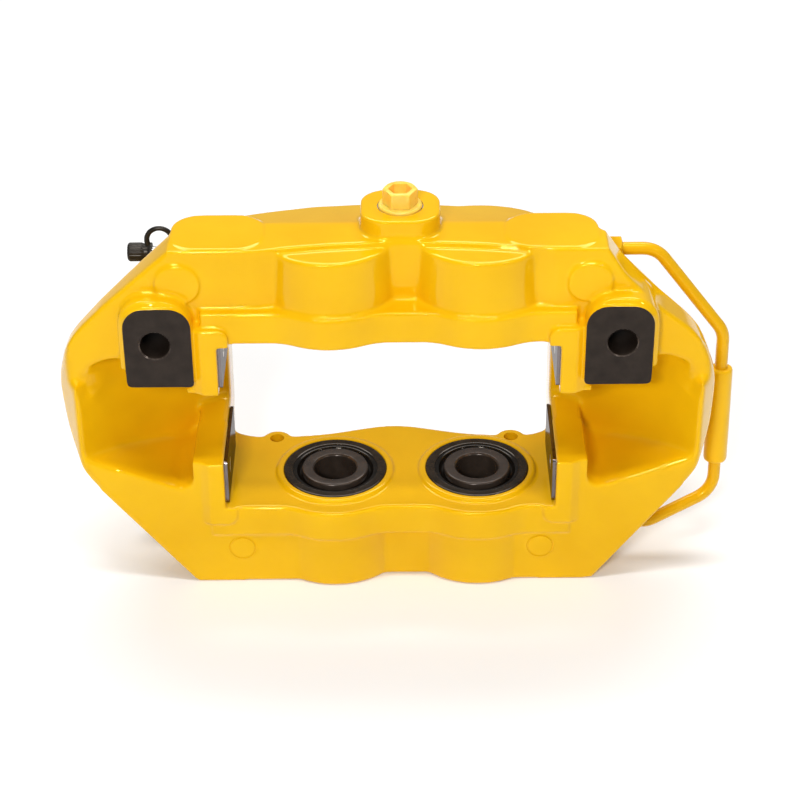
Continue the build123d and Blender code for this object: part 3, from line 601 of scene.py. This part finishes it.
def cast_share(p):
    """How strongly each place is rounded: most in the disc pockets, least on raised pads."""
    share = np.full(len(p), CAST_SHARE)
    along, height = np.abs(p[:, 0]), np.abs(p[:, 2] - DISC_Z)
    pocket = (along > 93) & (height < 40) & (p[:, 1] > 5) | (along > 127) & (height < 34)
    slot_end = (along > 74) & (height < 22) & (p[:, 1] > 40)
    share[pocket | slot_end] = POCKET_SHARE

    def soften(mask, value):
        share[mask] = np.minimum(share[mask], value)

    soften((along > 71) & (along < 93) & (p[:, 1] < 12), COLUMN_SHARE)
    for at in PISTON_AT.values():
        ring = np.hypot(p[:, 0] - at.x / MM, p[:, 1] - at.y / MM)
        soften((ring < 31) & (height < 46.5), DECK_SHARE)
    for x, y, z in MARKS:
        soften((np.hypot(p[:, 0] - x, p[:, 2] - z) < 13) & (p[:, 1] < y + 4), MARK_SHARE)
    near = np.hypot(p[:, 0] - INLET.x / MM, p[:, 1] - INLET.y / MM) < 27
    soften(near & (p[:, 2] > 48), BOSS_EDGE_SHARE)
    soften(near & (p[:, 2] > 44), BOSS_FOOT_SHARE)
    soften((p[:, 2] > 42.0) & (along > 50), TOP_PAD_SHARE)
    return share


def fillers():
    """Solids that close every drilling, so that they can be cut crisply after the smoothing."""
    parts = []
    for half, sign in HALVES:
        for end in ENDS:
            at = PISTON_AT[(half, end)] / MM
            ends = -CUP_DEPTH - 0.3, RIM
            parts.append(rod(at.x, at.y, deck_z(sign), (0, 0, sign), *ends, SEAT_R + 0.3))
        for x in PIN_AT:
            ends = sorted((deck_z(sign), DISC_Z - sign * PIN_FILL_HEIGHT))
            parts.append(rod(x, PIN_Y, 0, (0, 0, 1), *ends, PIN_R + FILL))
        nut, screw = PIPE_NUT[half] / MM, BLEEDER[half] / MM
        ends = PIPE_FILL_X, PIPE_SPOT_X
        parts.append(rod(0, nut.y, nut.z, (1, 0, 0), *ends, PIPE_PORT_R + FILL))
        ends = -BLEED_SPOT_X, -BLEED_FILL_X
        parts.append(rod(0, screw.y, screw.z, (1, 0, 0), *ends, BLEED_PORT_R + FILL))
    for side in (-1, 1):
        ends = 1.0, LUG_BACK_Y - 0.1
        parts.append(rod(side * LUG_X, 0, 0, (0, 1, 0), *ends, LUG_HOLE_R + 0.15))
        parts.append(lug_slab(side, -LUG_STOCK, 3.0, 0.5))
        ends = sorted((side * SCREW_START_X, side * SCREW_END_X))
        for sign in (-1, 1):
            parts.append(rod(0, SCREW_Y, DISC_Z + sign * SCREW_HEIGHT, (1, 0, 0), *ends, SCREW_R))
    ends = INLET_FILL_Z, BOSS_TOP
    parts.append(rod(INLET.x / MM, INLET.y / MM, 0, (0, 0, 1), *ends, INLET_R + 0.1))
    return parts


POCKET_CORNER_R = 10.5
POCKET_CORNER_X, POCKET_CORNER_Y, POCKET_CORNER_HEIGHT = 132.5, 2, 19.5


def pocket_corners():
    """Cutters that round the upper outer corner of each disc pocket's mouth."""
    corner = ((0, 0, 0), (POCKET_CORNER_R, 0, 0), (POCKET_CORNER_R, 7, 2), (3.0, 17, 0), (0, 17, 0))
    places = [
        Vector((side * POCKET_CORNER_X, POCKET_CORNER_Y, DISC_Z + POCKET_CORNER_HEIGHT)) * MM
        for side in (-1, 1)
    ]
    return [lathe_data(corner, place, (0, 1, 0), closed=False) for place in places]


BORE_CUTTER = (
    (0, 3.0, 0), (SEAT_R + 1.75, 3.0, 0), (SEAT_R, 1.25, 0), (SEAT_R, -SEAT_DEPTH, 0),
    (BORE_R, -SEAT_DEPTH, 0), (BORE_R, -BORE_DEPTH, 0), (CUP_R, -BORE_DEPTH, 0),
    (CUP_R, -CUP_DEPTH, 0), (0, -CUP_DEPTH, 0),
)
PIPE_CUTTER = (
    (0, 82, 0), (PIPE_PORT_R, 82, 0), (PIPE_PORT_R, PIPE_SPOT_X, 0), (8.5, PIPE_SPOT_X, 0.8),
    (8.5, 140, 0), (0, 140, 0),
)
BLEED_CUTTER = (
    (0, 80, 0), (BLEED_PORT_R, 80, 0), (BLEED_PORT_R, BLEED_SPOT_X, 0),
    (10.5, BLEED_SPOT_X, 1.2), (10.5, 132, 0), (0, 132, 0),
)
LUG_CUTTER = (
    (0, -4, 0), (LUG_HOLE_R + 4.55, -4, 0), (LUG_HOLE_R, 0.55, 0), (LUG_HOLE_R, 50, 0), (0, 50, 0)
)
GATE_GROOVE = ((5.6, -2, 0), (6.6, -2, 0), (6.6, 0.45, 0), (6.1, 0.68, 0), (5.6, 0.4, 0))
INLET_CUTTER = (
    (0, 3, 0), (INLET_R, 3, 0), (INLET_R, -1, 0), (INLET_THREAD_R, -1, 0),
    (INLET_THREAD_R, -INLET_DEPTH, 0), (0, -INLET_DEPTH, 0),
)


def drillings():
    """Cutters for the bores, holes and ports."""
    parts = []

    def drill(profile, origin, axis, steps=96, closed=False):
        parts.append(lathe_data(profile, Vector(origin) * MM, axis, closed=closed, steps=steps))

    for half, sign in HALVES:
        for end in ENDS:
            at = PISTON_AT[(half, end)] / MM
            drill(BORE_CUTTER, (at.x, at.y, deck_z(sign)), (0, 0, sign), steps=160)
        depth = PIN_DEPTH[half]
        pin = ((0, 5, 0), (PIN_R + 5, 5, 0), (PIN_R, 0, 0), (PIN_R, -depth, 0), (0, -depth, 0))
        for x in PIN_AT:
            drill(pin, (x, PIN_Y, deck_z(sign)), (0, 0, sign), steps=64)
        nut, screw = PIPE_NUT[half] / MM, BLEEDER[half] / MM
        drill(PIPE_CUTTER, (0, nut.y, nut.z), (1, 0, 0))
        drill(BLEED_CUTTER, (0, screw.y, screw.z), (-1, 0, 0))
    for side in (-1, 1):
        drill(LUG_CUTTER, (side * LUG_X, 0, 0), (0, 1, 0), steps=128)
    for place in GATES:
        drill(GATE_GROOVE, place, (0, 1, 0), steps=72, closed=True)
    drill(INLET_CUTTER, (INLET.x / MM, INLET.y / MM, BOSS_TOP), (0, 0, 1), steps=128)
    return parts


def facings():
    """Cutters that face the lugs off in front and spot-face them behind."""
    parts = []
    for side in (-1, 1):
        parts.append(lug_slab(side, -8, 0.0, 6))
        parts.append(rod(side * LUG_X, LUG_BACK_Y, 0, (0, 1, 0), 0, 60, SPOT_R))
    return parts


PAINTED, FACED, EDGED, BARED = range(4)  # paint, dark faces, hole edges, bare metal


def colour_faces(mesh, chooser):
    """Material indices, which the chooser gives from face centres (mm) and normals."""
    count = len(mesh.polygons)
    at, facing = np.empty(count * 3, np.float32), np.empty(count * 3, np.float32)
    mesh.polygons.foreach_get("center", at)
    mesh.polygons.foreach_get("normal", facing)
    index = chooser(at.reshape(-1, 3) / MM, facing.reshape(-1, 3))
    mesh.polygons.foreach_set("material_index", index.astype(np.int32))
    mesh.update()


def casting_finish(at, facing):
    """Which finish each face has: paint unless it was machined after painting."""
    index = np.full(len(at), PAINTED)
    along, away, height = np.abs(at[:, 0]), at[:, 1], np.abs(at[:, 2] - DISC_Z)
    lug = np.hypot(along - LUG_X, at[:, 2])
    near_lug = (np.abs(along - LUG_FACE_X) < 24) & (np.abs(at[:, 2]) < 30)
    index[near_lug & (np.abs(away) < 0.02) & (facing[:, 1] < -0.99)] = FACED
    index[(lug < LUG_HOLE_R + 0.15) & (away < LUG_BACK_Y + 2)] = FACED
    index[(lug < SPOT_R - 0.1) & (np.abs(away - LUG_BACK_Y) < 0.05)] = FACED
    chamfer = (away > 0.01) & (away < 0.56) & (np.abs(facing[:, 1]) > 0.4)
    index[(lug < LUG_HOLE_R + 0.75) & chamfer] = EDGED
    in_bore = (height > DECK - 1.3) & (height < DECK + CUP_DEPTH + 0.8)
    for where in PISTON_AT.values():
        ring = np.hypot(at[:, 0] - where.x / MM, at[:, 1] - where.y / MM)
        index[(ring < SEAT_R - 0.02) & in_bore] = BARED
    for half, _ in HALVES:
        for port, radius in ((PIPE_NUT[half], PIPE_PORT_R), (BLEEDER[half], BLEED_PORT_R)):
            ring = np.hypot(away - port.y / MM, at[:, 2] - port.z / MM)
            index[(ring < radius + 0.1) & (along < PIPE_SPOT_X + 1) & (along > 78)] = BARED
    ring = np.hypot(at[:, 0] - INLET.x / MM, away - INLET.y / MM)
    index[(ring < INLET_R - 0.1) & (at[:, 2] > 30) & (at[:, 2] < BOSS_TOP - 0.5)] = BARED
    return index


source = NODES["caliper_body"].data
points = [v.co.copy() for v in source.vertices]
surfaces = [list(face.vertices) for face in source.polygons]
casting_mesh = plain_mesh("casting", *joined((points, surfaces), *fillers()))
casting_mesh = with_modifier(casting_mesh, "REMESH", mode="VOXEL", voxel_size=VOXEL)
casting_mesh = cut(largest_island(casting_mesh), pocket_corners())
relax(casting_mesh, SMOOTH_ROUNDS, cast_share)
ratio = min(1.0, TRIANGLE_LIMIT / 2 / len(casting_mesh.polygons))  # each face is two triangles
casting_mesh = with_modifier(casting_mesh, "DECIMATE", ratio=ratio)
casting_mesh = cut(cut(casting_mesh, facings()), drillings())
casting_mesh.materials.clear()
finish_piece(
    casting_mesh, "casting", PAINT, "caliper", ["caliper_body"], smooth=38
)
for extra in (BLACK_FACE, BLACK_EDGE, BARE):  # in the order of FACED, EDGED, BARED
    casting_mesh.materials.append(extra)
colour_faces(casting_mesh, casting_finish)


# ================================================================ pistons, boots and rings
PISTON_PROFILE = (
    (0, -21.4, 0), (18.8, -21.4, 0), (20, -20.2, 0), (20, -4.2, 0.2), (15, -4.2, 0.2),
    (15, -1.0, 0.2), (16, -1.0, 0.2), (16, 2.2, 1.0), (11.0, 2.2, 0.2),
    (10.2, 1.4, 0.3), (10.2, -15.6, 0.8), (9.4, -16.4, 0.5), (0, -16.4, 0),
)
BOOT_PROFILE = (
    (15.3, -3.9, 0.2), (19.4, -3.9, 0.3), (19.4, -1.4, 0.3), (21.0, -0.6, 0.3), (22.6, -0.6, 0.2),
    (22.6, -2.2, 0.2), (24.0, -2.2, 0.2), (24.0, 0.85, 0.1), (20.6, 0.85, 0.1), (20.3, 1.05, 0.15),
    (19.2, 1.1, 0.4), (18.5, 0.75, 0.4), (18.1, 0.0, 0.3), (17.2, -0.9, 0.3), (15.3, -1.3, 0.2),
)
RING_PROFILE = (
    (24.1, -2.3, 0), (24.95, -2.3, 0), (24.95, 0.9, 0.15), (24.5, 1.45, 0.25), (23.6, 1.6, 0.5),
    (21.0, 1.35, 0.5), (20.5, 1.15, 0.15), (20.5, 1.0, 0), (24.1, 1.0, 0),
)


BOOT_OUTER_R, BOOT_INNER_R = 21.0, 17.6  # the stretching part lies between these


def boot_weights(piece, at):
    """The outer rim stays with the casting and the inner lip goes with the piston."""
    count = len(piece.data.vertices)
    co = np.empty(count * 3, np.float32)
    piece.data.vertices.foreach_get("co", co)
    co = co.reshape(-1, 3)
    r = np.hypot(co[:, 0] - at.x, co[:, 1] - at.y) / MM
    t = np.clip((BOOT_OUTER_R - r) / (BOOT_OUTER_R - BOOT_INNER_R), 0, 1)
    weights = piece.data.attributes["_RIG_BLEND"]
    weights.data.foreach_set("value", (t * t * (3 - 2 * t)).astype(np.float32))


for half, sign in HALVES:
    for end in ENDS:
        at = PISTON_AT[(half, end)]
        origin = Vector((at.x, at.y, deck_z(sign) * MM))
        axis, place = (0, 0, sign), f"{half}_{end}"
        verts, faces = lathe_data(PISTON_PROFILE, origin, axis, closed=False, steps=128)
        add_piece(f"piston_{place}_turned", verts, faces, PISTON, f"piston_{place}",
                  [f"piston_{place}"], smooth=30)
        verts, faces = lathe_data(RING_PROFILE, origin, axis, steps=128)
        add_piece(f"boot_ring_{place}_turned", verts, faces, RING, "caliper",
                  [f"boot_ring_{place}"], smooth=30)
        verts, faces = lathe_data(BOOT_PROFILE, origin, axis, steps=128)
        boot = add_piece(f"dust_boot_{place}_moulded", verts, faces, BOOT, None,
                         [f"dust_boot_{place}"], smooth=50)
        start, stop = origin - Vector(axis) * 0.004, origin + Vector(axis) * 0.001
        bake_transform(boot, "caliper", f"piston_{place}", start, stop)
        boot_weights(boot, at)


# ================================================================ pipe sleeve and nuts
PIPE_HOLE_R = 3.05
PIPE_NUT_X = 96.05


def painted_hex(half):
    """A pipe nut: chamfered hexagon with a washer face and a threaded nose in the port."""
    at = PIPE_NUT[half]
    origin, axis, hole = Vector((PIPE_NUT_X * MM, at.y, at.z)), (1, 0, 0), PIPE_HOLE_R
    body = hex_ring_data(11.0, 0.4, 11.6, origin, axis, hole=hole, turn=math.radians(30))
    collar = ((hole, 0.0, 0), (5.1, 0.0, 0.1), (5.1, 0.6, 0), (hole, 0.6, 0))
    lip = ((hole, 11.4, 0), (4.4, 11.4, 0), (4.1, 12.0, 0.2), (hole, 12.0, 0.1))
    nose = ((hole, -12, 0), (4.9, -12, 0.4), (4.9, 0.2, 0), (hole, 0.2, 0))
    turned = [lathe_data(profile, origin, axis) for profile in (collar, lip, nose)]
    verts, faces = joined(body, *turned)
    add_piece(f"pipe_nut_{half}_painted", verts, faces, PIPE_PAINT, "caliper",
              [f"pipe_nut_{half}"], smooth=22)


for half, _ in HALVES:
    painted_hex(half)

run_start, run_end = Vector((158, 46, DISC_Z + 25.2)) * MM, Vector((158, 38, DISC_Z - 60)) * MM
run = run_end - run_start
length = run.length / MM
SLEEVE = (
    (PIPE_HOLE_R, 0.22 * length, 0.15), (5.2, 0.22 * length, 0.35), (5.62, 0.235 * length, 0.4),
    (5.7, 0.5 * length, 6), (5.62, 0.785 * length, 0.4), (5.2, 0.80 * length, 0.35),
    (PIPE_HOLE_R, 0.80 * length, 0.15),
)
verts, faces = lathe_data(SLEEVE, run_start, run, steps=64)
add_piece("pipe_sleeve_moulded", verts, faces, SLEEVE_PAINT, "caliper",
          ["pipe_sleeve"], smooth=40)


# ================================================================ bleed screws and caps
BLEED_X = -92.0
STRAP_DISTANCE, STRAP_LIFT, STRAP_R, STRAP_STEPS = 13.4, 6.3, 5.9, 40
STRAP_FOOT = 3.2  # how far from the screw's axis the hoop starts and ends
STRAP_THICK, STRAP_FLARE = 1.1, 0.25  # radius at mid-hoop, and what it gains by the ends


def strap_path(y, z, away):
    """The cap's strap: a hoop from the cap's shoulder over to its ring, away from the disc."""
    points = []
    foot = math.asin((STRAP_LIFT - STRAP_FOOT) / STRAP_R)
    for k in range(STRAP_STEPS + 1):
        a = -foot + (math.pi + 2 * foot) * k / STRAP_STEPS
        x = BLEED_X - STRAP_DISTANCE + STRAP_R * math.cos(a)
        points.append(Vector((x, y, z + away * (STRAP_LIFT + STRAP_R * math.sin(a)))) * MM)
    return points


def cap_ripple(r, h, angle):
    """Fine grip ribs round the outer end of the cap."""
    if r > 4.0 and h > 21.5:
        return r + 0.14 * (math.cos(angle * 18) - 1)
    return r


SCREW_PROFILE = (
    (1.0, -11, 0), (3.4, -11, 0), (3.95, -10.2, 0), (3.95, 0.3, 0), (5.6, 0.3, 0), (5.6, 0.75, 0.1),
    (4.4, 0.8, 0), (4.4, 6.3, 0), (3.6, 6.9, 0.3), (2.5, 7.6, 0.4), (2.5, 20.4, 0.3),
    (2.8, 21.2, 0.2), (2.8, 22.4, 0.3), (2.1, 25.6, 0.3), (1.6, 26.0, 0.2), (1.0, 26.0, 0),
)
CAP_PROFILE = (
    (2.85, 26.4, 0), (0, 26.4, 0), (0, 28.5, 0), (3.6, 28.5, 0.5), (4.4, 27.7, 0.5), (4.4, 22.0, 0.5),
    (3.95, 20.9, 0.6), (3.95, 18.9, 0.5), (4.35, 18.0, 0.4), (4.35, 17.2, 0.3), (3.9, 17.0, 0.2),
    (2.85, 17.0, 0.1),
)
LOOP_PROFILE = (
    (2.85, 7.8, 0.3), (6.1, 7.6, 0.8), (6.4, 9.4, 0.8), (6.1, 11.2, 0.8), (2.85, 11.0, 0.3)
)

for half, sign in HALVES:
    at = BLEEDER[half]
    origin, axis = Vector((BLEED_X * MM, at.y, at.z)), (-1, 0, 0)
    turned = lathe_data(SCREW_PROFILE, origin, axis, steps=64)
    hexagon = hex_ring_data(10.0, 0.75, 6.5, origin, axis, hole=3.0, turn=math.radians(30))
    verts, faces = joined(turned, hexagon)
    add_piece(f"bleed_screw_{half}_turned", verts, faces, STEEL, f"bleed_screw_{half}",
              [f"bleed_screw_{half}"], smooth=25)
    cap = lathe_data(CAP_PROFILE, origin, axis, closed=False, steps=108, ripple=cap_ripple)
    ring = lathe_data(LOOP_PROFILE, origin, axis, steps=64)
    y, z = at.y / MM, at.z / MM
    path = strap_path(y, z, -sign)
    ends = [abs(2 * k / STRAP_STEPS - 1) for k in range(STRAP_STEPS + 1)]
    sizes = [(STRAP_THICK + STRAP_FLARE * nearness) * MM for nearness in ends]
    strap = tube_data(path, sizes, steps=24)
    verts, faces = joined(cap, ring, strap)
    add_piece(f"bleed_cap_{half}_moulded", verts, faces, CAP, f"bleed_cap_{half}",
              [f"bleed_cap_{half}"], smooth=48)


# ================================================================ shipping plug
PLUG_SEAT_Z = 50.45
plug_origin = Vector((INLET.x, INLET.y, PLUG_SEAT_Z * MM))
hexagon = hex_ring_data(14.0, 1.2, 9.6, plug_origin, (0, 0, 1), turn=math.radians(30), both=False,
                        hex_hole=9.6, floor=3.2, soft=True)
stem = lathe_data(
    (
        (0, -8, 0), (4.4, -8, 0), (4.95, -7.4, 0.2), (4.95, 0, 0), (9.6, 0, 0.2), (10.0, 0.5, 0.3),
        (10.0, 1.6, 0.4), (9.3, 2.2, 0.4), (0, 2.2, 0),
    ),
    plug_origin, (0, 0, 1), closed=False,
)
verts, faces = joined(hexagon, stem)
add_piece("port_plug_moulded", verts, faces, PLUG, "port_plug", ["port_plug"],
          smooth=32)


# ================================================================ camera, floor and light
SENSOR_WIDTH, FOCAL_LENGTH = 36.0, 96.75
CAMERA_AT = (4.86, -827.08, 499.46)
CAMERA_DIP, CAMERA_ROLL = 32.6, -0.42  # degrees
FLOOR_SIZE = 3.0  # metres from the middle to each side
WORLD_STRENGTH = 0.24
EDGE_WIDTH = 0.25  # eased edges of the plates and screws


def aim_camera():
    """The camera's viewing angle and place."""
    data = bpy.data.cameras.new("camera")
    data.sensor_width, data.lens = SENSOR_WIDTH, FOCAL_LENGTH
    data.clip_start, data.clip_end = 0.05, 20
    camera = bpy.data.objects.new("camera", data)
    bpy.context.scene.collection.objects.link(camera)
    camera.rotation_mode = "XYZ"
    tilt = Matrix.Rotation(math.radians(90 - CAMERA_DIP), 4, "X")
    roll = Matrix.Rotation(math.radians(CAMERA_ROLL), 4, "Z")
    place = Matrix.Translation(Vector(CAMERA_AT) * MM)
    camera.matrix_world = place @ tilt @ roll
    bpy.context.scene.camera = camera


def area_light(name, place, target, size, power):
    """A white rectangular light, pointed at a target; metres and watts."""
    data = bpy.data.lights.new(name, "AREA")
    data.shape, data.size, data.size_y = "RECTANGLE", size[0], size[1]
    data.energy = power
    lamp = bpy.data.objects.new(name, data)
    lamp.location = Vector(place)
    lamp.rotation_mode = "QUATERNION"
    lamp.rotation_quaternion = (Vector(target) - Vector(place)).to_track_quat("-Z", "Y")
    bpy.context.scene.collection.objects.link(lamp)


def lay_floor():
    """A pale flat floor under the caliper."""
    low = CAD_BOX[0][2]
    size = FLOOR_SIZE
    verts = [(-size, -size, low), (size, -size, low), (size, size, low), (-size, size, low)]
    mesh = bpy.data.meshes.new("floor")
    mesh.from_pydata(verts, [], [[0, 1, 2, 3]])
    floor = bpy.data.objects.new("floor", mesh)
    bpy.context.scene.collection.objects.link(floor)
    made = material("floor_card", (0.93, 0.93, 0.93), 0.6)
    links, shader = made.node_tree.links, made.node_tree.nodes["Principled BSDF"]
    tint = ramp(made, noise(made, 3, 2), ((0.3, (0.92, 0.92, 0.92)), (0.7, (0.95, 0.95, 0.95))))
    links.new(tint, shader.inputs["Base Color"])
    mesh.materials.append(made)


aim_camera()
lay_floor()
area_light("overhead", (0.0, -0.2, 1.15), (0, 0.03, -0.04), (0.7, 0.1), 6.4)
area_light("front", (-0.26, -1.18, 0.74), (0, 0.03, -0.06), (0.26, 0.16), 11.0)
area_light("key", (0.85, -0.75, 0.85), (0, 0.03, -0.04), (0.12, 0.12), 1.8)
area_light("backdrop", (0, 1.0, 1.4), (0, 0.66, -0.14), (1.8, 0.6), 20)
world = bpy.data.worlds.new("studio")
world.use_nodes = True
background = world.node_tree.nodes["Background"]
background.inputs["Color"].default_value = (1, 1, 1, 1)
background.inputs["Strength"].default_value = WORLD_STRENGTH
bpy.context.scene.world = world
bpy.context.scene.view_settings.view_transform = "Standard"


# ================================================================ CAD nodes shown as they are
CARRIED = {
    "piston_seal_": (SEAL, "seal_rubber"),
    "abutment_plate_": (SHADE_DARKENED_PLATE, "stainless"),
    "abutment_screws": (STEEL, "steel"),
    "crossover_pipe": (PIPE_PAINT, "body_paint"),
}
for name, node in NODES.items():
    for start, (made, slot) in CARRIED.items():
        if name.startswith(start):
            node.data.materials.clear()
            node.data.materials.append(made)
            if start in ("abutment_plate_", "abutment_screws"):
                edge = node.modifiers.new("edge", "BEVEL")
                edge.width, edge.segments, edge.limit_method = EDGE_WIDTH * MM, 2, "ANGLE"
